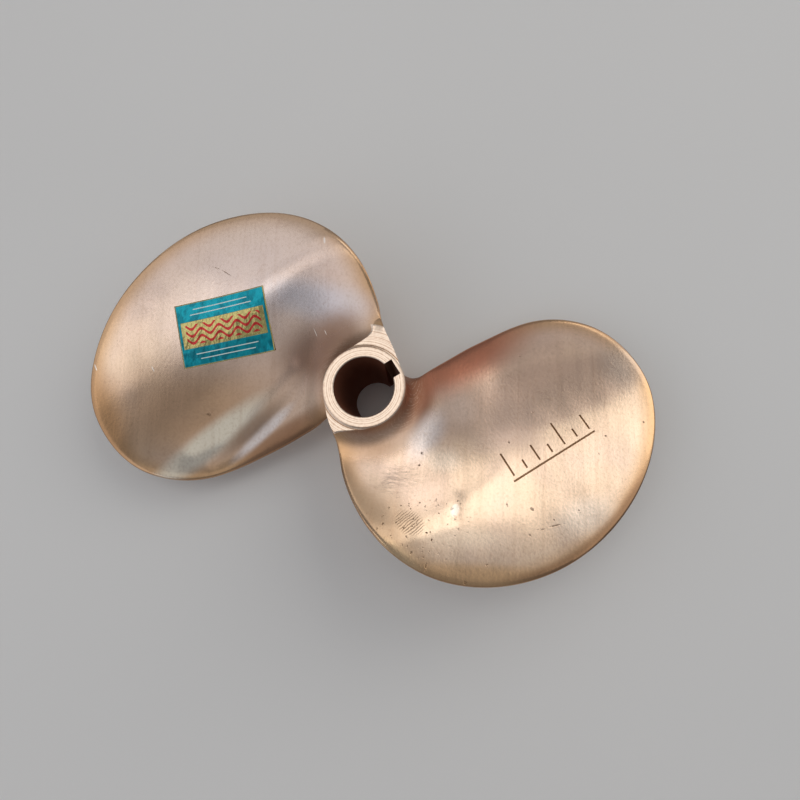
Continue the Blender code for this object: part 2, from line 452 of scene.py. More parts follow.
@dataclass(frozen=True)
class HubForm:
    """The hub with its facing cut, tapered bore and keyway."""

    length: float = 0.055
    radius: float = 0.0205
    lower_radius: float = 0.0195
    chamfer: float = 0.0006
    bore_radius: float = 0.0150
    bore_lower_radius: float = 0.0118
    bore_chamfer: float = 0.0004
    key_width: float = 0.0085
    key_depth: float = 0.0036
    key_angle: float = math.radians(37.0)
    facing_allowance: float = 0.002
    shoulder_drop: float = 0.0008
    shoulder_radius: float = 0.0315
    shoulder_rounding: float = 0.0012
    shoulder_slope: float = 0.80
    groove_depth: float = 0.0004
    groove_width: float = 0.0010
    segments: int = 128

    def turned(self, name: str, profile: list[tuple[float, float]]) -> bpy.types.Object:
        """Spin a profile into a closed solid.

        Args:
            name: The guide object's name.
            profile: Its points, as radius and height, with both ends on the axis.

        Returns:
            The solid.
        """
        shape = bmesh.new()
        points = [shape.verts.new((radius, 0.0, height)) for radius, height in profile]
        edges = [shape.edges.new(pair) for pair in zip(points, points[1:])]
        bmesh.ops.spin(shape, geom=points + edges, cent=(0, 0, 0), axis=(0, 0, 1), angle=math.tau,
                       steps=self.segments, use_merge=True)
        return link_mesh(name, shape)

    def bore_at(self, height: float) -> float:
        """Return the tapered bore's radius at a height."""
        return blend(self.bore_lower_radius, self.bore_radius, height / self.length)

    def blank(self, name: str) -> bpy.types.Object:
        """Turn the hub's blank, longer than the hub by the facing allowance.

        Args:
            name: The object's name.

        Returns:
            The blank.
        """
        slope = (self.radius - self.lower_radius) / self.length
        top = self.length + self.facing_allowance
        return self.turned(name, [
            (0.0, top),
            (self.radius + slope * self.facing_allowance, top),
            (self.lower_radius + slope * self.chamfer, self.chamfer),
            (self.lower_radius - self.chamfer, 0.0),
            (0.0, 0.0),
        ])

    def facing_cutter(self) -> bpy.types.Object:
        """Turn what the lathe cuts away: all above the ring, the shoulder round it and the groove between.

        Returns:
            The cutter.
        """
        top = self.length * 3.0
        shoulder = self.length - self.shoulder_drop
        outside = self.shoulder_radius + self.length
        rise = self.shoulder_rounding * self.shoulder_slope
        return self.turned("facing_guide", [
            (0.0, top),
            (outside, top),
            (outside, shoulder + self.length * self.shoulder_slope),
            (self.shoulder_radius + 2.0 * self.shoulder_rounding, shoulder + rise),
            (self.shoulder_radius, shoulder),
            (self.radius + self.groove_width, shoulder),
            (self.radius + self.groove_width / 2.0, shoulder - self.groove_depth),
            (self.radius, shoulder - self.groove_depth / 2.0),
            (self.radius, self.length - self.chamfer),
            (self.radius - self.chamfer, self.length),
            (0.0, self.length),
        ])

    def bore_cutter(self) -> bpy.types.Object:
        """Turn the tapered bore's cutter, with a small chamfer at each mouth.

        Returns:
            The cutter.
        """
        chamfer, length = self.bore_chamfer, self.length
        return self.turned("bore_guide", [
            (0.0, 2.0 * length),
            (self.bore_radius + chamfer, 2.0 * length),
            (self.bore_radius + chamfer, length),
            (self.bore_at(length - chamfer), length - chamfer),
            (self.bore_at(chamfer), chamfer),
            (self.bore_lower_radius + chamfer, 0.0),
            (self.bore_lower_radius + chamfer, -length),
            (0.0, -length),
        ])

    def keyway_cutter(self) -> bpy.types.Object:
        """Make the keyway's cutter, whose outer face follows the bore's taper.

        Returns:
            The cutter.
        """
        shape = bmesh.new()
        bmesh.ops.create_cube(shape, size=1.0)
        for vert in shape.verts:
            height = blend(-self.length, 2.0 * self.length, vert.co.z + 0.5)
            outer = self.bore_at(height) + self.key_depth
            vert.co = Vector((outer * (vert.co.x + 0.5), self.key_width * vert.co.y, height))
        turn_round_shaft(shape, self.key_angle)
        return link_mesh("keyway_guide", shape)


@dataclass(frozen=True)
class EngravedScale:
    """A row of plain graduation strokes cut into one blade's upper face."""

    centre: Plan = (0.0930, -0.0195)
    turn: float = math.radians(35.0)
    spacing: float = 0.0078
    stroke_lengths: tuple[float, ...] = (0.0150, 0.0070, 0.0110, 0.0070, 0.0150, 0.0070, 0.0110)
    base_gap: float = 0.0022
    width: float = 0.0017
    depth: float = 0.0006
    narrowing: float = 0.3
    proud: float = 0.001
    cuts: int = 8

    def add_stroke(self, shape: bmesh.types.BMesh, blade: BladeForm, start: Vector, end: Vector) -> None:
        """Add one stroke's cutter, a bar with a narrowed underside that follows the blade's face.

        Args:
            shape: The bmesh that collects the cutters.
            blade: The blade that the stroke is cut into.
            start: The stroke's first end in plan.
            end: Its other end.
        """
        before = len(shape.verts)
        bmesh.ops.create_cube(shape, size=1.0)
        shape.verts.ensure_lookup_table()
        along = {edge for vert in shape.verts[before:] for edge in vert.link_edges
                 if abs(edge.verts[0].co.x - edge.verts[1].co.x) > 0.5}
        bmesh.ops.subdivide_edges(shape, edges=list(along), cuts=self.cuts, use_grid_fill=True)
        shape.verts.ensure_lookup_table()
        way = end - start
        side = Vector((-way.y, way.x)).normalized()
        for vert in shape.verts[before:]:
            narrowed, lift = (1.0, self.proud) if vert.co.z > 0.0 else (self.narrowing, -self.depth)
            place = start + way * (vert.co.x + 0.5) + side * (vert.co.y * self.width * narrowed)
            vert.co = (place.x, place.y, blade.face_height(place.x, place.y) + lift)

    def build(self, blade: BladeForm) -> bpy.types.Object:
        """Make one guide object with every stroke's cutter.

        Args:
            blade: The blade that the scale is cut into.

        Returns:
            The guide object.
        """
        turn = Matrix.Rotation(self.turn, 2)
        centre = Vector(self.centre)
        last = len(self.stroke_lengths) - 1
        low = -self.stroke_lengths[0] / 2.0
        shape = bmesh.new()
        for number, length in enumerate(self.stroke_lengths):
            across = self.spacing * (number - last / 2.0)
            foot = centre + turn @ Vector((across, low + self.base_gap))
            self.add_stroke(shape, blade, foot, foot + turn @ Vector((0.0, length - self.base_gap)))
        reach = self.spacing * last / 2.0 + self.width
        foot_line = [centre + turn @ Vector((end, low)) for end in (-reach, reach)]
        self.add_stroke(shape, blade, *foot_line)
        return link_mesh("scale_guide", shape)


@dataclass(frozen=True)
class Casting:
    """The propeller's one bronze casting: the hub, its two blades and what is cut into them."""

    right_blade: BladeForm
    left_blade: BladeForm
    hub: HubForm = field(default_factory=HubForm)
    scale: EngravedScale = field(default_factory=EngravedScale)
    crease: float = math.radians(22.0)
    upward_gain: float = 4.0

    def build(self) -> bpy.types.Object:
        """Join hub and blades, face, bore and engrave them, and replace the CAD casting.

        Returns:
            The finished casting.
        """
        casting = self.hub.blank("bronze_casting")
        guides = [
            (self.right_blade.build("right_blade_guide", 0.0), Cut.ADD),
            (self.left_blade.build("left_blade_guide", math.pi), Cut.ADD),
            (self.hub.facing_cutter(), Cut.TAKE_AWAY),
            (self.hub.bore_cutter(), Cut.TAKE_AWAY),
            (self.hub.keyway_cutter(), Cut.TAKE_AWAY),
            (self.scale.build(self.right_blade), Cut.TAKE_AWAY),
        ]
        for guide, cut in guides:
            step = casting.modifiers.new(guide.name, "BOOLEAN")
            step.operation, step.solver, step.object = cut.value, "EXACT", guide
        bpy.context.view_layer.update()
        cut_casting = casting.evaluated_get(bpy.context.evaluated_depsgraph_get())
        mesh = bpy.data.meshes.new_from_object(cut_casting)
        casting.modifiers.clear()
        casting.data = mesh
        for guide, _ in guides:
            bpy.data.objects.remove(guide, do_unlink=True)
        smooth_faces(mesh, self.crease)
        self.write_masks(mesh)
        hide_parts("propeller_casting")
        return casting

    def write_masks(self, mesh: bpy.types.Mesh) -> None:
        """Keep for the finish each vertex's distance to the outline, depth in the scale and upward turn.

        Args:
            mesh: The casting's mesh.
        """
        places = np.empty(len(mesh.vertices) * 3, np.float32)
        mesh.vertices.foreach_get("co", places)
        plan = places.reshape(-1, 3)[:, :2].astype(float)
        distances = np.minimum(self.right_blade.rim_distance(plan), self.left_blade.rim_distance(-plan))
        self.write_attribute(mesh, "rim_distance", distances)
        reach = self.scale.spacing * len(self.scale.stroke_lengths)
        near = np.linalg.norm(plan - np.array(self.scale.centre), axis=1) < reach
        depths = np.zeros(len(plan))
        for number in np.flatnonzero(near):
            below = self.right_blade.face_height(*plan[number]) - float(places[3 * number + 2])
            depths[number] = below / self.scale.depth if below < 2.0 * self.scale.depth else 0.0
        self.write_attribute(mesh, "cut_depth", np.clip(depths, 0.0, 1.0))
        upward = np.empty(len(mesh.vertices) * 3, np.float32)
        mesh.vertices.foreach_get("normal", upward)
        self.write_attribute(mesh, "upper_face", np.clip(upward[2::3] * self.upward_gain, 0.0, 1.0))

    def write_attribute(self, mesh: bpy.types.Mesh, name: str, values: np.ndarray) -> None:
        """Write one number a vertex as a named attribute."""
        mesh.attributes.new(name, "FLOAT", "POINT").data.foreach_set("value", values.astype(np.float32))


@dataclass(frozen=True)
class FoilLabel:
    """The printed foil label on the left blade."""

    width: float = 0.050
    height: float = 0.033
    thickness: float = 0.00012
    radius: float = 0.084
    angle: float = math.radians(-19.7)
    turn: float = math.radians(14.0)
    lift: float = 0.00022
    wrinkle_height: float = 0.00016
    wrinkle_length: float = 0.009
    corner_curl: float = 0.0007
    corner_reach: float = 0.008
    steps: int = 60

    def build(self, blade: BladeForm) -> bpy.types.Object:
        """Lay a thin sheet over the blade's face, wrinkled and with one corner curled up.

        Args:
            blade: The form of the blade that carries the label.

        Returns:
            The label, which replaces the CAD label.
        """
        shape = bmesh.new()
        shape.loops.layers.uv.new("print")
        bmesh.ops.create_grid(shape, x_segments=self.steps, y_segments=self.steps, size=0.5, calc_uvs=True)
        turn = Matrix.Rotation(self.turn, 2)
        centre = Vector((math.cos(self.angle), math.sin(self.angle))) * self.radius
        curled_corner = Vector((-self.width, self.height)) / 2.0
        for vert in shape.verts:
            flat = Vector((vert.co.x * self.width, vert.co.y * self.height))
            place = centre + turn @ flat
            wrinkle = ground_noise(place, self.wrinkle_length, FOIL_LAYER)
            curl = max(1.0 - (flat - curled_corner).length / self.corner_reach, 0.0)**2
            raised = self.lift + self.wrinkle_height * max(wrinkle, 0.0) + self.corner_curl * curl
            vert.co = (place.x, place.y, blade.face_height(place.x, place.y) + raised)
        turn_round_shaft(shape, math.pi)
        label = link_mesh("printed_label", shape)
        for polygon in label.data.polygons:
            polygon.use_smooth = True
        sheet = label.modifiers.new("foil", "SOLIDIFY")
        sheet.thickness, sheet.offset = self.thickness, 0.0
        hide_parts("foil_label")
        return label


class Signal:
    """A node's output that takes part in Python arithmetic by adding Math nodes."""

    def __init__(self, bench: "NodeBench", socket: bpy.types.NodeSocket) -> None:
        """Keep the bench that adds the nodes, and the output."""
        self.bench = bench
        self.socket = socket

    def __add__(self, other: "Signal | float") -> "Signal":
        """Return the sum."""
        return self.bench.math("ADD", self, other)

    __radd__ = __add__

    def __mul__(self, other: "Signal | float") -> "Signal":
        """Return the product."""
        return self.bench.math("MULTIPLY", self, other)

    __rmul__ = __mul__

    def __sub__(self, other: "Signal | float") -> "Signal":
        """Return the difference."""
        return self.bench.math("SUBTRACT", self, other)

    def __rsub__(self, other: float) -> "Signal":
        """Return the difference from a number."""
        return self.bench.math("SUBTRACT", other, self)

    def __truediv__(self, other: "Signal | float") -> "Signal":
        """Return the quotient."""
        return self.bench.math("DIVIDE", self, other)


Source = Signal | float | tuple[float, ...]
Stroke = tuple[float, float, float, float, float]


class NodeBench:
    """One new material, and the ways in which its nodes are added."""

    def __init__(self, name: str) -> None:
        """Make the material, and keep its shader and the place that is shaded.

        Args:
            name: The material's name.
        """
        self.material = bpy.data.materials.new(name)
        self.material.use_nodes = True
        self.tree = self.material.node_tree
        self.shader = self.tree.nodes["Principled BSDF"]
        self.place = self.add("ShaderNodeTexCoord", output="Object")
        self.x, self.y, self.z = self.parts(self.place)

    def feed(self, node: bpy.types.Node, name: str | int, given: Source) -> None:
        """Set or link one input.

        Args:
            node: The node.
            name: The input's name among those in use, or its number.
            given: The value or signal.
        """
        found = node.inputs[name] if isinstance(name, int) else next(
            socket for socket in node.inputs if socket.name == name and socket.enabled)
        if isinstance(given, Signal):
            self.tree.links.new(given.socket, found)
        else:
            found.default_value = given

    def node(self, kind: str, settings: dict[str, Any], inputs: dict[str | int, Source]) -> bpy.types.Node:
        """Add a node.

        Args:
            kind: The node's type.
            settings: Its properties, set before the inputs.
            inputs: Its inputs' values or signals.

        Returns:
            The node.
        """
        made = self.tree.nodes.new(kind)
        for name, setting in settings.items():
            setattr(made, name, setting)
        for name, given in inputs.items():
            self.feed(made, name, given)
        return made

    def add(self, kind: str, settings: dict[str, Any] | None = None,
            inputs: dict[str | int, Source] | None = None, output: str | int = 0) -> Signal:
        """Add a node and return one of its outputs, by name or number."""
        return Signal(self, self.node(kind, settings or {}, inputs or {}).outputs[output])

    def math(self, operation: str, *given: Source) -> Signal:
        """Add a Math node."""
        return self.add("ShaderNodeMath", {"operation": operation}, dict(enumerate(given)))

    def vector_math(self, operation: str, *given: Source, output: str | int = 0) -> Signal:
        """Add a Vector Math node."""
        return self.add("ShaderNodeVectorMath", {"operation": operation}, dict(enumerate(given)), output)

    def parts(self, vector: Signal) -> tuple[Signal, Signal, Signal]:
        """Return a vector's three parts."""
        split = self.node("ShaderNodeSeparateXYZ", {}, {0: vector})
        return tuple(Signal(self, split.outputs[number]) for number in range(3))

    def noise(self, scale: Space, detail: float = 2.0, roughness: float = 0.5, shift: float = 0.0) -> Signal:
        """Add noise over the object.

        Args:
            scale: The pattern's scale per metre along each axis.
            detail: How many finer layers it has.
            roughness: How strong the finer layers are.
            shift: How far the pattern is moved, to tell it from another of like scale.

        Returns:
            The noise, from 0 to 1.
        """
        stretched = self.vector_math("MULTIPLY", self.place, scale)
        moved = self.vector_math("ADD", stretched, (shift, shift, shift))
        return self.add("ShaderNodeTexNoise", {}, {"Vector": moved, "Scale": 1.0, "Detail": detail,
                                                   "Roughness": roughness})

    def line_noise(self, along: Signal, scale: float, detail: float = 2.0) -> Signal:
        """Return noise, from 0 to 1, that changes along one value only."""
        return self.add("ShaderNodeTexNoise", {"noise_dimensions": "1D"},
                        {"W": along, "Scale": scale, "Detail": detail})

    def bump(self, height: Signal) -> Signal:
        """Return the normal of a surface that is raised by a height in metres."""
        return self.add("ShaderNodeBump", {}, {"Strength": 1.0, "Distance": 1.0, "Height": height})

    def attribute(self, name: str) -> Signal:
        """Return one of the mesh's own attributes."""
        return self.add("ShaderNodeAttribute", {"attribute_name": name}, output="Fac")

    def ease(self, value: Signal, start: float, end: float) -> Signal:
        """Turn a value into a mask.

        Args:
            value: The value.
            start: Where the mask is still 0.
            end: Where it has reached 1, which may be below start.

        Returns:
            The mask, which eases in and out.
        """
        low, high, first, last = (start, end, 0.0, 1.0) if start < end else (end, start, 1.0, 0.0)
        return self.add("ShaderNodeMapRange", {"interpolation_type": "SMOOTHSTEP"},
                        {"Value": value, "From Min": low, "From Max": high, "To Min": first, "To Max": last})

    def mix(self, first: Source, second: Source, share: Source) -> Signal:
        """Mix two colours.

        Args:
            first: The colour at a share of 0.
            second: The colour at a share of 1.
            share: The second colour's share.

        Returns:
            The mixed colour.
        """
        made = self.node("ShaderNodeMix", {"data_type": "RGBA"}, {})
        for name, given in (("A", first), ("B", second), ("Factor", share)):
            if isinstance(given, tuple):
                given = (*given, 1.0)
            self.feed(made, name, given)
        return Signal(self, next(socket for socket in made.outputs if socket.enabled))

    def spot(self, centre: Space, reach: Space, turn: float = 0.0, soft: float = 0.6) -> Signal:
        """Return 1 inside an upright ellipsoid round a place, fading to 0 at its reach.

        Args:
            centre: The place in the part's frame.
            reach: How far the spot reaches along its own three axes.
            turn: The angle that the spot is turned by round the vertical.
            soft: The share of the reach over which it fades.

        Returns:
            The mask.
        """
        mapped = self.add("ShaderNodeMapping", {"vector_type": "TEXTURE"}, {
            "Vector": self.place, "Location": centre, "Rotation": (0.0, 0.0, turn), "Scale": reach})
        nearness = self.add("ShaderNodeTexGradient", {"gradient_type": "SPHERICAL"}, {"Vector": mapped}, 1)
        return self.ease(nearness, 0.0, soft)

    def strokes(self, marks: tuple[Stroke, ...], height: float = FACE_HEIGHT, soft: float = 0.4) -> Signal:
        """Return 1 on a number of strokes that run from one place in plan to another and taper at both ends.

        Args:
            marks: Each stroke's first x and y, last x and y, and width.
            height: The middle height of the faces that carry the strokes.
            soft: The share of the half width over which each one fades.

        Returns:
            The mask.
        """
        made = None
        for first_x, first_y, last_x, last_y, width in marks:
            run, rise = last_x - first_x, last_y - first_y
            centre = (first_x + run / 2.0, first_y + rise / 2.0, height)
            reach = (math.hypot(run, rise) / 2.0, width / 2.0, UPRIGHT_REACH)
            stroke = self.spot(centre, reach, math.atan2(rise, run), soft)
            made = stroke if made is None else self.math("MAXIMUM", made, stroke)
        return made

    def finish(self, constants: dict[str, float], varying: dict[str, Source]) -> bpy.types.Material:
        """Set the shader's inputs.

        Args:
            constants: Values for sockets that are the same all over.
            varying: Signals for sockets that change over the surface.

        Returns:
            The material.
        """
        for name, given in (*constants.items(), *varying.items()):
            self.feed(self.shader, name, given)
        return self.material


@dataclass(frozen=True)
class Spot:
    """A soft-edged upright ellipsoid on the faces."""

    centre: Space
    reach: Plan
    degrees: float = 0.0
    soft: float = 0.6

    def mask(self, bench: NodeBench) -> Signal:
        """Return the spot's mask on a material's bench."""
        return bench.spot(self.centre, (*self.reach, UPRIGHT_REACH), math.radians(self.degrees), self.soft)


@dataclass(frozen=True)
class Tint:
    """A soft-edged patch of another colour on the upper faces, fitted to the photograph's tones.

    Some patches are the metal's own colour. Most stand for reflections and shade that the panels don't give,
    painted
    into the colour: the dark zone on the right blade, the light and dark streaks on the left one, the bluish
    and lilac places by the hub, the red-brown zone by the right blade's root, the dark brown zone below the
    label, and painted shade in the root fillets round the hub.
    """

    colour: Colour
    strength: float
    centre: Plan
    reach: Plan
    degrees: float = 0.0
    soft: float = 0.8

    def mask(self, bench: NodeBench) -> Signal:
        """Return the patch's mask on a material's bench."""
        spot = Spot((*self.centre, FACE_HEIGHT), self.reach, self.degrees, self.soft)
        return spot.mask(bench) * self.strength


@dataclass(frozen=True)
class GroundBronze:
    """The casting's finish: hand-ground bronze with pits, scratches, a part-worn rim, and painted reflection
    and shade.
    """

    pink: Colour = (0.82, 0.61, 0.49)
    gold: Colour = (0.84, 0.63, 0.46)
    # Brown for the grinding streaks and dimples, and for painted shade on the rim and in the root fillets.
    brown: Colour = (0.36, 0.20, 0.11)
    # Rim colour: partly worn bronze and partly painted reflection of darker surroundings.
    rim: Colour = (0.65, 0.39, 0.19)
    # Painted shade inside the bore.
    bore: Colour = (0.30, 0.12, 0.07)
    turned: Colour = (0.92, 0.75, 0.60)
    turned_line: Colour = (0.61, 0.42, 0.30)
    # Darkest brown of the right blade's root fillet, where its shade is painted.
    dark_fillet_brown_and_shade: Colour = (0.24, 0.11, 0.065)
    pit: Colour = (0.17, 0.095, 0.055)
    engraving: Colour = (0.20, 0.11, 0.055)
    # Pale colour for a painted glint and for pale marks.
    bright: Colour = (0.93, 0.84, 0.74)
    shoulder_height: float = 0.0541
    shoulder_radius: float = 0.0322
    hub_radius: float = 0.0205
    bore_radius: float = 0.0149
    thin_rim_share: float = 0.85
    rim_line_share: float = 0.5
    low_rim_share: float = 0.8
    streak_share: float = 0.16
    dimple_share: float = 0.15
    root_share: float = 0.32
    right_root_share: float = 0.53
    arc_share: float = 0.32
    bright_share: float = 0.8
    smoothest: float = 0.14
    grain_roughness: float = 0.09
    turned_roughness: float = 0.12
    root_roughness: float = 0.30
    bore_roughness: float = 0.25
    pit_roughness: float = 0.3
    cut_fade: float = 0.0002
    fillet_start: float = 0.004
    fillet_end: float = 0.012
    grain_height: float = 0.000005
    streak_height: float = 0.000004
    speckle_height: float = 0.000002
    dimple_height: float = 0.000018
    ring_height: float = 0.000008
    wrinkle_height: float = 0.00005
    pit_depth: float = 0.00006
    # Where painted shade darkens the right blade's low rim.
    low_rim_shade: Spot = Spot((0.118, -0.066, 0.04), (0.062, 0.040), 40.0, 0.5)
    pit_cluster: Spot = Spot((0.032, -0.065, 0.057), (0.033, 0.019), 0.0, 0.7)
    wrinkled: Spot = Spot((0.012, -0.041, 0.05), (0.024, 0.018))
    hatched: Spot = Spot((0.0280, -0.0625, 0.05), (0.0085, 0.0060), -25.0, 0.4)
    # Most of these patches are painted reflection and painted shade; some are the metal's own colour.
    tones_and_painted_light: tuple[Tint, ...] = (
        # Painted reflection: the dark zone on the right blade, with its crisp lower boundary.
        Tint((0.53, 0.38, 0.30), 0.62, (0.086, 0.005), (0.070, 0.021), 20.0, 0.35),
        Tint((0.42, 0.31, 0.25), 0.65, (0.075, -0.012), (0.020, 0.020)),
        Tint((0.26, 0.12, 0.07), 0.90, (-0.042, -0.033), (0.045, 0.013), 48.0),
        # Painted shade by the left blade's root, next to the hub.
        Tint((0.28, 0.16, 0.11), 0.90, (-0.030, 0.018), (0.032, 0.024)),
        # Painted reflection: the dark brown zone below the label on the left blade.
        Tint((0.62, 0.39, 0.23), 0.85, (-0.095, -0.016), (0.074, 0.040), 12.0),
        Tint((0.52, 0.30, 0.15), 0.95, (-0.140, -0.025), (0.019, 0.048), 22.0),
        Tint((0.66, 0.45, 0.34), 0.50, (0.080, 0.024), (0.080, 0.036), 8.0),
        # Painted reflection: the lilac cast over the left blade's upper half.
        Tint((0.84, 0.70, 0.62), 0.70, (-0.070, 0.050), (0.080, 0.050), 25.0),
        # Painted reflections: two light streaks on the left blade.
        Tint((0.96, 0.88, 0.73), 0.90, (-0.0845, -0.0315), (0.052, 0.010), 42.0, 0.6),
        Tint((0.94, 0.85, 0.82), 0.90, (-0.0565, -0.0240), (0.028, 0.0045), 46.0, 0.6),
        # Painted reflection: a dark streak on the left blade.
        Tint((0.40, 0.21, 0.125), 0.75, (-0.050, -0.0275), (0.034, 0.006), 40.0, 0.6),
        # Painted shade in the root fillet right of the hub.
        Tint((0.26, 0.11, 0.065), 0.90, (0.0280, 0.000), (0.010, 0.026)),
        # Painted reflection: a dark streak on the left blade.
        Tint((0.34, 0.24, 0.18), 0.85, (-0.0630, -0.0225), (0.032, 0.0065), 45.0),
        # Painted reflection: a lilac sheen by the hub on the right blade.
        Tint((0.76, 0.70, 0.69), 0.75, (0.032, -0.020), (0.011, 0.021), -25.0),
        # Painted reflection: a bluish sheen by the hub on the left blade.
        Tint((0.72, 0.72, 0.78), 0.60, (-0.030, 0.044), (0.044, 0.014), -8.0),
        # Painted shade below the hub and along the concave left edge of the right blade's root.
        Tint((0.45, 0.27, 0.15), 0.60, (0.004, -0.030), (0.024, 0.010), 10.0),
        Tint((0.22, 0.14, 0.09), 0.90, (-0.006, -0.048), (0.010, 0.020), 8.0),
        Tint((0.62, 0.46, 0.37), 0.60, (0.068, -0.020), (0.022, 0.009), 16.0),
        Tint((0.98, 0.80, 0.64), 0.80, (0.041, -0.032), (0.013, 0.009)),
        Tint((0.46, 0.38, 0.32), 0.60, (0.134, 0.026), (0.018, 0.020)),
        Tint((0.38, 0.28, 0.23), 0.50, (0.0695, 0.000), (0.009, 0.028)),
        Tint((0.84, 0.66, 0.55), 0.50, (0.048, -0.005), (0.012, 0.013)),
        Tint((0.50, 0.35, 0.23), 0.85, (0.020, -0.063), (0.030, 0.016), -35.0),
        Tint((0.34, 0.24, 0.16), 0.85, (0.006, -0.057), (0.034, 0.011), -42.0),
        Tint((0.97, 0.78, 0.60), 0.60, (0.054, -0.068), (0.034, 0.008)),
        Tint((0.98, 0.82, 0.68), 0.70, (0.112, -0.054), (0.022, 0.012), 25.0),
        Tint((0.84, 0.53, 0.28), 0.75, (0.060, -0.083), (0.050, 0.007)),
        Tint((0.97, 0.70, 0.42), 0.80, (0.024, -0.077), (0.018, 0.006), -30.0),
        # Painted shade by the left blade's root, next to the hub.
        Tint((0.26, 0.15, 0.10), 0.75, (-0.016, 0.029), (0.020, 0.016)),
        Tint((0.58, 0.46, 0.40), 0.60, (-0.035, 0.062), (0.028, 0.008), 17.0),
        # Painted reflection: the red-brown zone along the right blade's upper root edge.
        Tint((0.60, 0.24, 0.145), 0.97, (0.046, 0.025), (0.060, 0.023), 34.0, 0.7),
    )
    scratches: tuple[Stroke, ...] = (
        (0.0878, -0.0620, 0.0930, -0.0612, 0.0008),
        (0.0935, -0.0605, 0.1025, -0.0580, 0.0010),
        (0.0373, -0.0790, 0.0370, -0.0835, 0.0012),
        (0.0490, -0.0508, 0.0512, -0.0528, 0.0012),
        (0.0733, -0.0502, 0.0738, -0.0528, 0.0010),
        (0.1086, -0.0508, 0.1094, -0.0530, 0.0010),
        (-0.0885, 0.0600, -0.0830, 0.0585, 0.0004),
        (-0.0830, 0.0585, -0.0765, 0.0550, 0.0005),
        (-0.0745, 0.0935, -0.0740, 0.0900, 0.0009),
        (-0.0863, -0.0155, -0.0838, -0.0165, 0.0022),
        (0.0851, -0.0040, 0.0865, -0.0033, 0.0012),
        (0.0731, -0.0200, 0.0743, -0.0212, 0.0012),
        (0.0298, -0.0288, 0.0312, -0.0302, 0.0016),
        (0.1227, -0.0132, 0.1241, -0.0140, 0.0012),
        (0.1191, -0.0226, 0.1199, -0.0236, 0.0010),
        (0.1428, -0.0044, 0.1438, -0.0052, 0.0011),
        (0.0292, -0.0351, 0.0302, -0.0359, 0.0013),
        (0.0848, -0.0519, 0.0868, -0.0533, 0.0018),
        (0.0844, -0.0640, 0.0856, -0.0652, 0.0014),
        (0.0645, -0.0785, 0.0657, -0.0793, 0.0013),
        (0.0961, -0.0564, 0.0971, -0.0572, 0.0010),
        (0.0542, -0.0863, 0.0566, -0.0877, 0.0018),
        (0.0781, 0.0283, 0.0791, 0.0275, 0.0009),
    )
    glint_and_pale_strokes: tuple[Stroke, ...] = (
        # Painted glint on the right blade.
        (0.0478, -0.0590, 0.0496, -0.0520, 0.0048),
        (-0.0268, 0.0745, -0.0262, 0.0705, 0.0013),
        (-0.1175, 0.0070, -0.1155, 0.0035, 0.0008),
        (-0.1485, 0.0060, -0.1465, 0.0020, 0.0009),
        (-0.0310, 0.0310, -0.0285, 0.0260, 0.0004),
        (-0.0250, 0.0300, -0.0235, 0.0272, 0.0004),
    )

    def colour(self, bench: NodeBench, masks: dict[str, Signal]) -> Signal:
        """Lay the bronze's colours, and its painted reflections and shade, over each other.

        Args:
            bench: The material's bench.
            masks: The masks of the patches and marks, by name.

        Returns:
            The colour.
        """
        made = bench.mix(self.pink, self.gold, bench.ease(masks["patches"], 0.35, 0.65))
        # Rim band: partly worn bronze colour and partly painted reflection.
        made = bench.mix(made, self.rim, masks["rim_tone_and_shade"])
        # Patches on the cast faces: mostly painted reflection and painted shade, some the metal's own colour.
        cast = masks["upper"] * (1.0 - masks["machined"])
        for tint in self.tones_and_painted_light:
            made = bench.mix(made, tint.colour, tint.mask(bench) * cast)
        made = bench.mix(made, self.brown, bench.ease(masks["streaks"], 0.50, 0.85) * self.streak_share)
        made = bench.mix(made, self.brown, bench.ease(masks["dimples"], 0.45, 0.75) * self.dimple_share)
        # Painted shade along the rim's edge, wider along the right blade's low rim.
        made = bench.mix(made, self.brown, masks["painted_rim_shade"])
        # Root fillets round the hub: partly the rough fillet's own brown, partly painted shade, deepest at
        # the right blade's root.
        root_colour_and_shade = bench.mix(self.brown, self.dark_fillet_brown_and_shade, masks["right_root"])
        root_share = self.root_share + masks["right_root"] * self.right_root_share
        made = bench.mix(made, root_colour_and_shade, masks["near_hub"] * root_share)
        made = bench.mix(made, self.turned, masks["near_hub"] * masks["arcs"] * self.arc_share)
        line = bench.ease(masks["rings"] + masks["dimples"] * 0.4, 0.62, 0.95)
        made = bench.mix(made, bench.mix(self.turned, self.turned_line, line), masks["machined"])
        # Painted shade inside the bore.
        made = bench.mix(made, self.bore, masks["bore"])
        made = bench.mix(made, self.engraving, masks["engraved"])
        # A painted glint on the right blade, and pale marks.
        made = bench.mix(made, self.bright, masks["bright"])
        return bench.mix(made, self.pit, masks["pitted"])

    def pits(self, bench: NodeBench, scratched: Signal, speckle: Signal, hatching: Signal) -> Signal:
        """Work out where small pits, dark scratches and the hatched patch break the upper faces.

        Args:
            bench: The material's bench.
            scratched: The mask of the dark scratches.
            speckle: The fine noise that breaks up pits and scratches.
            hatching: The mask of the hatched patch's lines.

        Returns:
            The mask.
        """
        bend = bench.add("ShaderNodeTexNoise", {}, {"Vector": bench.place, "Scale": 420.0}, 1)
        crooked = bench.vector_math("MULTIPLY_ADD", bench.place, (330.0, 330.0, 330.0), bend)
        pores = bench.add("ShaderNodeTexVoronoi", {}, {"Vector": crooked, "Scale": 1.25})
        cluster = self.pit_cluster.mask(bench) * 0.9 + 0.05
        pitted = bench.ease(pores, 0.26, 0.12) * cluster * bench.ease(speckle, 0.40, 0.54)
        return pitted + scratched * bench.ease(speckle, 0.32, 0.56) * 0.7 + hatching * 0.5

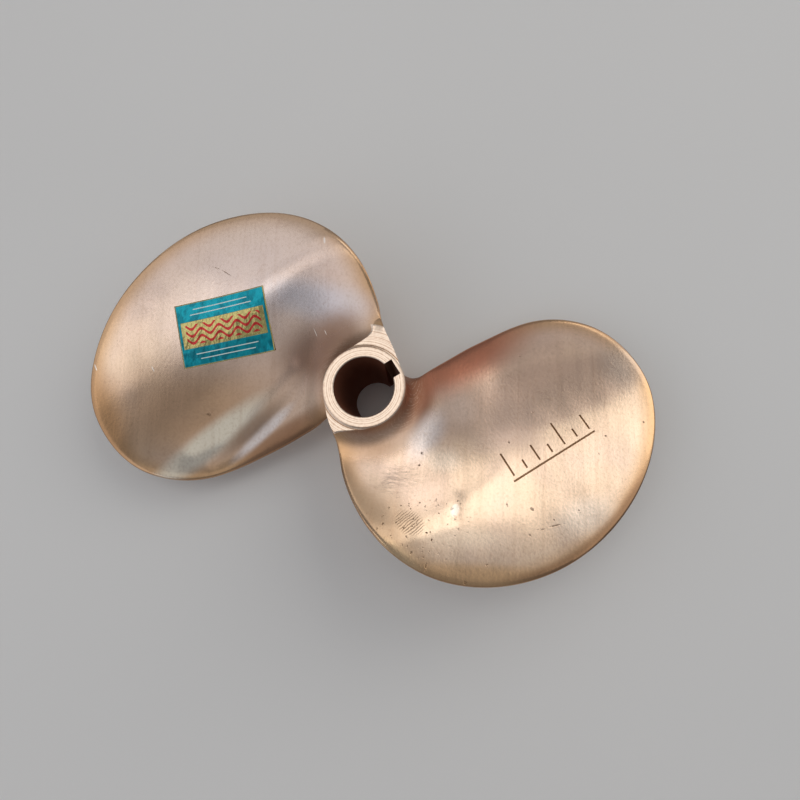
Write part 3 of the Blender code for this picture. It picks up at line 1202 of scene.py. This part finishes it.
    def material(self) -> bpy.types.Material:
        """Build the finish from the object's own coordinates and the casting's attributes.

        Returns:
            The material.
        """
        bench = NodeBench("ground_bronze")
        scratched = bench.strokes(self.scratches)
        # A painted glint and pale marks.
        bright = bench.strokes(self.glint_and_pale_strokes)
        rim = bench.attribute("rim_distance")
        upper = bench.attribute("upper_face")
        flat_place = bench.vector_math("MULTIPLY", bench.place, (1.0, 1.0, 0.0))
        radius = bench.vector_math("LENGTH", flat_place, output="Value")
        fade = self.cut_fade
        machined = bench.ease(bench.z, self.shoulder_height - 2.0 * fade, self.shoulder_height - fade)
        machined = machined * bench.ease(radius, self.shoulder_radius, self.shoulder_radius - 2.0 * fade)
        ground = 1.0 - machined
        patches = bench.noise((16.0, 16.0, 16.0), detail=3.0)
        grain = bench.noise((620.0, 14.0, 60.0), detail=3.0, roughness=0.6)
        streaks = bench.noise((260.0, 9.0, 20.0), shift=3.0)
        speckle = bench.noise((900.0, 900.0, 900.0))
        dimples = bench.noise((750.0, 600.0, 600.0))
        breaks = bench.noise((140.0, 140.0, 140.0), detail=1.0)
        drift = patches - 0.5
        rings = bench.line_noise(radius + drift * 0.0012, 1500.0, 3.0)
        broken_rings = bench.line_noise(radius * 0.8 + bench.z * 0.6 + breaks * 0.0008, 5200.0)
        # Rim band: partly worn colour and partly painted reflection.
        rim_tone_and_shade = bench.ease(rim + drift * 0.004, 0.0115, 0.0010) * self.thin_rim_share
        # Painted shade: a thin line at the very edge, and a wider band along the right blade's low rim.
        rim_edge_shade = bench.ease(rim, 0.0010, 0.0004) * self.rim_line_share
        low_rim_shade = bench.ease(rim, 0.0062, 0.0022) * self.low_rim_shade.mask(bench) * self.low_rim_share
        painted_rim_shade = bench.math("MAXIMUM", low_rim_shade, rim_edge_shade)
        wrinkles = bench.noise((220.0, 560.0, 300.0)) * self.wrinkled.mask(bench) * upper
        hatching = bench.math("SINE", (bench.x * 0.9 - bench.y) * 4200.0 + breaks * 9.0 + dimples * 4.0)
        hatching = bench.ease(hatching, 0.1, 0.9) * self.hatched.mask(bench) * upper
        pitted = self.pits(bench, scratched, speckle, hatching)
        pitted = bench.math("MINIMUM", pitted * upper * ground, 1.0)
        # Round the hub, where the root fillets carry partly painted shade and scratches.
        near_hub = bench.ease(radius + drift * 0.006, self.hub_radius + self.fillet_end,
                              self.hub_radius + self.fillet_start)
        masks = {
            "patches": patches,
            "streaks": streaks,
            "dimples": dimples,
            "rings": rings,
            "upper": upper,
            "machined": machined,
            "rim_tone_and_shade": rim_tone_and_shade * ground,
            "painted_rim_shade": painted_rim_shade * ground,
            "right_root": bench.ease(bench.x + bench.y * 0.3, 0.002, 0.020),
            "arcs": bench.ease(broken_rings, 0.52, 0.66) * bench.ease(speckle, 0.36, 0.60),
            "near_hub": near_hub * ground,
            "bore": bench.ease(radius, self.bore_radius + fade, self.bore_radius),
            "engraved": bench.ease(bench.attribute("cut_depth"), 0.25, 0.9),
            "bright": bright * upper * self.bright_share,
            "pitted": pitted,
        }
        unpolished = bench.ease(radius, self.hub_radius + 0.018, self.hub_radius + 0.006) * ground
        roughness = self.smoothest + grain * self.grain_roughness + machined * self.turned_roughness
        roughness = roughness + unpolished * self.root_roughness + masks["bore"] * self.bore_roughness
        roughness = roughness + pitted * self.pit_roughness
        height = grain * self.grain_height + streaks * self.streak_height + dimples * self.dimple_height
        height = (height + speckle * self.speckle_height) * ground + rings * machined * self.ring_height
        height = height + wrinkles * self.wrinkle_height - pitted * self.pit_depth
        colour, normal = self.colour(bench, masks), bench.bump(height)
        varying = {"Base Color": colour, "Roughness": roughness, "Normal": normal}
        return bench.finish({"Metallic": 1.0}, varying)


@dataclass(frozen=True)
class PrintedFoil:
    """The label's finish: a generic print of bars and waves in teal, red and white on gold foil."""

    teal: Colour = (0.003, 0.33, 0.41)
    deep_teal: Colour = (0.001, 0.15, 0.20)
    gold: Colour = (0.54, 0.46, 0.18)
    red: Colour = (0.60, 0.03, 0.03)
    white: Colour = (0.75, 0.85, 0.80)
    waves: float = 5.0
    wave_height: float = 0.05
    crinkle_height: float = 0.00016
    gloss: float = 0.16

    def material(self) -> bpy.types.Material:
        """Build the print from the label's own UV map.

        Returns:
            The material.
        """
        bench = NodeBench("printed_foil")
        print_place = bench.add("ShaderNodeUVMap", {"uv_map": "print"})
        across, up, _ = bench.parts(print_place)
        crinkle = bench.noise((260.0, 170.0, 170.0))
        from_side = bench.math("ABSOLUTE", across - 0.5)
        from_middle = bench.math("ABSOLUTE", up - 0.5)
        band = bench.ease(from_middle, 0.215, 0.205) * bench.ease(from_side, 0.465, 0.46)
        wave = bench.math("SINE", across * (self.waves * math.tau)) * self.wave_height
        stripe = bench.ease(bench.math("PINGPONG", up - wave + 0.02, 0.055), 0.030, 0.036) * band
        stripe = stripe * bench.ease(from_side, 0.42, 0.415) * bench.ease(from_middle, 0.16, 0.155)
        rules = bench.ease(bench.math("PINGPONG", from_middle - 0.27, 0.04), 0.030, 0.036)
        rules = rules * bench.ease(from_middle, 0.26, 0.27) * bench.ease(from_middle, 0.42, 0.41)
        rules = rules * bench.ease(from_side + from_middle * 0.5, 0.50, 0.495)
        border = bench.math("MAXIMUM", bench.ease(from_side, 0.488, 0.492),
                            bench.ease(from_middle, 0.482, 0.488))
        bare_foil = bench.math("MAXIMUM", band, border)
        colour = bench.mix(self.teal, self.deep_teal, bench.ease(crinkle, 0.45, 0.62) * 0.7)
        for ink, share in ((self.gold, bare_foil), (self.red, stripe), (self.white, rules)):
            colour = bench.mix(colour, ink, share)
        metallic = 0.65 + bare_foil * 0.3 - stripe * 0.5 - rules * 0.6
        normal = bench.bump(crinkle * (1.0 + band) * self.crinkle_height)
        varying = {"Base Color": colour, "Metallic": metallic, "Normal": normal}
        return bench.finish({"Roughness": self.gloss}, varying)


@dataclass(frozen=True)
class LightPanel:
    """One soft light panel that faces the propeller."""

    name: str
    place: Space
    width_way: Space
    size: tuple[float, float]
    brightness: float
    colour: Colour

    def build(self) -> None:
        """Hang the panel, its power set from its brightness and its area."""
        light = bpy.data.lights.new(self.name, "AREA")
        light.shape = "RECTANGLE"
        light.size, light.size_y = self.size
        light.energy = self.brightness * math.pi * self.size[0] * self.size[1]
        light.color = self.colour
        outward, across = Vector(self.place).normalized(), Vector(self.width_way)
        across = (across - outward * outward.dot(across)).normalized()
        axes = Matrix((across, outward.cross(across), outward)).transposed()
        panel = bpy.data.objects.new(self.name, light)
        panel.matrix_world = Matrix.Translation(self.place) @ axes.to_4x4()
        bpy.context.scene.collection.objects.link(panel)


LEVEL = (1.0, 0.0, 0.0)
KEY_SLANT = (0.567, 0.092, -0.818)
SIDE_SLANT = (0.571, -0.087, 0.817)
WARM_WHITE = (1.0, 0.98, 0.92)


@dataclass(frozen=True)
class Studio:
    """The floor, the camera at the photograph's viewing angle, and light panels placed by its reflections."""

    floor_size: float = 12.0
    floor_colour: Colour = (0.80, 0.79, 0.77)
    floor_mottle: float = 0.94
    sky: float = 0.27
    sky_colour: Colour = (0.9, 0.93, 1.0)
    camera_place: Space = (0.0474, -0.0483, 0.3443)
    camera_look: Space = (-0.0250, 0.2194, -0.9753)
    camera_up: Space = (-0.0675, 0.9730, 0.2206)
    lens: float = 27.0
    sensor: float = 36.0
    shift: tuple[float, float] = (-0.0593, -0.0517)
    panels: tuple[LightPanel, ...] = (
        LightPanel("key_panel", (1.93, 1.515, 1.70), KEY_SLANT, (2.92, 3.6), 0.62, (1.0, 0.97, 0.93)),
        LightPanel("key_core", (1.86, 1.60, 1.66), KEY_SLANT, (2.92, 1.1), 0.90, WARM_WHITE),
        LightPanel("far_panel", (0.46, 2.53, 1.35), LEVEL, (0.56, 1.55), 0.22, WARM_WHITE),
        LightPanel("strip_panel", (0.46, 2.06, 1.99), (0.775, 0.385, -0.498), (0.36, 0.75), 0.70, WARM_WHITE),
        LightPanel("side_panel", (-2.367, -1.096, 1.481), SIDE_SLANT, (2.655, 4.2), 0.50, (0.97, 0.97, 1.03)),
        LightPanel("side_core", (-1.79, -0.42, 2.77), SIDE_SLANT, (0.60, 0.60), 0.64, (1.0, 0.98, 0.94)),
        LightPanel("top_panel", (-0.45, 0.45, 2.80), LEVEL, (1.7, 1.3), 1.15, (1.0, 0.98, 0.96)),
        LightPanel("fill_panel", (-0.62, -1.50, 2.50), LEVEL, (1.3, 0.9), 0.26, (1.0, 0.98, 0.93)),
        LightPanel("back_panel", (-0.45, 1.95, 2.25), LEVEL, (1.8, 1.2), 0.19, (1.0, 0.95, 0.90)),
        LightPanel("rim_panel", (-2.05, 1.25, 2.24), SIDE_SLANT, (2.2, 1.0), 0.26, (1.0, 0.97, 0.92)),
    )

    def build_floor(self) -> None:
        """Lay a plain pale floor under the hub."""
        shape = bmesh.new()
        bmesh.ops.create_grid(shape, x_segments=1, y_segments=1, size=self.floor_size / 2.0)
        floor = link_mesh("floor", shape)
        bench = NodeBench("pale_floor")
        shade = bench.noise((3.0, 3.0, 3.0))
        darker = tuple(part * self.floor_mottle for part in self.floor_colour)
        colour = bench.mix(self.floor_colour, darker, shade)
        floor.data.materials.append(bench.finish({"Roughness": 0.8}, {"Base Color": colour}))

    def build_lights(self) -> None:
        """Hang the panels and set the even light of the room."""
        for panel in self.panels:
            panel.build()
        world = bpy.context.scene.world or bpy.data.worlds.new("room")
        bpy.context.scene.world = world
        world.use_nodes = True
        background = world.node_tree.nodes["Background"]
        background.inputs["Color"].default_value = (*self.sky_colour, 1.0)
        background.inputs["Strength"].default_value = self.sky

    def build_camera(self) -> None:
        """Place the camera at the photograph's viewing angle."""
        look, up = Vector(self.camera_look).normalized(), Vector(self.camera_up)
        right = look.cross(up).normalized()
        data = bpy.data.cameras.new("photo_camera")
        data.lens, data.sensor_width = self.lens, self.sensor
        data.shift_x, data.shift_y = self.shift
        data.clip_start = 0.01
        camera = bpy.data.objects.new("photo_camera", data)
        axes = Matrix((right, right.cross(look), -look)).transposed()
        camera.matrix_world = Matrix.Translation(self.camera_place) @ axes.to_4x4()
        bpy.context.scene.collection.objects.link(camera)
        bpy.context.scene.camera = camera


def set_view() -> None:
    """Set how the render's light is turned into the picture's tones."""
    settings = bpy.context.scene.view_settings
    settings.view_transform, settings.look = "Standard", "None"


def dress(piece: bpy.types.Object, material: bpy.types.Material) -> None:
    """Give a piece its finish, let it ride on the one body, and report it.

    Args:
        piece: The piece.
        material: Its finish.
    """
    piece.data.materials.clear()
    piece.data.materials.append(material)
    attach(piece, "root")
    LOG.info("%s: %d faces", piece.name, len(piece.data.polygons))


def main() -> None:
    """Build the studio, the casting and the label in order."""
    logging.basicConfig(level=logging.INFO, format="%(message)s")
    studio = Studio()
    studio.build_camera()
    studio.build_floor()
    studio.build_lights()
    set_view()
    right_blade = BladeForm(
        root_pitch=0.062,
        high_edge_degrees=(-132.0, -109.5, -98.0, -84.5, -63.5, -40.5, -18.5),
        roll_off_drop=0.0002,
        roll_off_width=0.0035,
        wave_height=0.00014,
        wave_place=1.7,
        hollows=(Hollow(((0.0490, -0.0500), (0.0480, -0.0590)), 0.0028, 0.00016),
                 Hollow(((0.040, -0.032), (0.060, -0.028), (0.086, -0.013), (0.110, -0.002), (0.150, 0.008)),
                        0.019, 0.00080)),
        rough_patches=(RoughPatch((0.010, -0.046), 0.024, 0.00018, 0.006),
                       RoughPatch((0.028, -0.064), 0.016, 0.00018, 0.005)),
    )
    left_blade = BladeForm(
        root_pitch=0.084,
        pitch_ease_start=0.026,
        low_edge_degrees=(23.0, 32.0, 33.5, 33.0, 30.5, 23.0, 12.0),
        roll_off_drop=0.0003,
        roll_off_width=0.0035,
        wave_place=5.2,
        hollows=(Hollow(((0.092, 0.038), (0.078, 0.028), (0.045, -0.012)), 0.0060, 0.00060),
                 Hollow(((0.0815, 0.0445), (0.0615, 0.0275), (0.0455, 0.0105), (0.0355, -0.0035)),
                        0.0036, 0.00045)),
    )
    dress(Casting(right_blade, left_blade).build(), GroundBronze().material())
    dress(FoilLabel().build(left_blade), PrintedFoil().material())


if __name__ == "__main__":
    main()
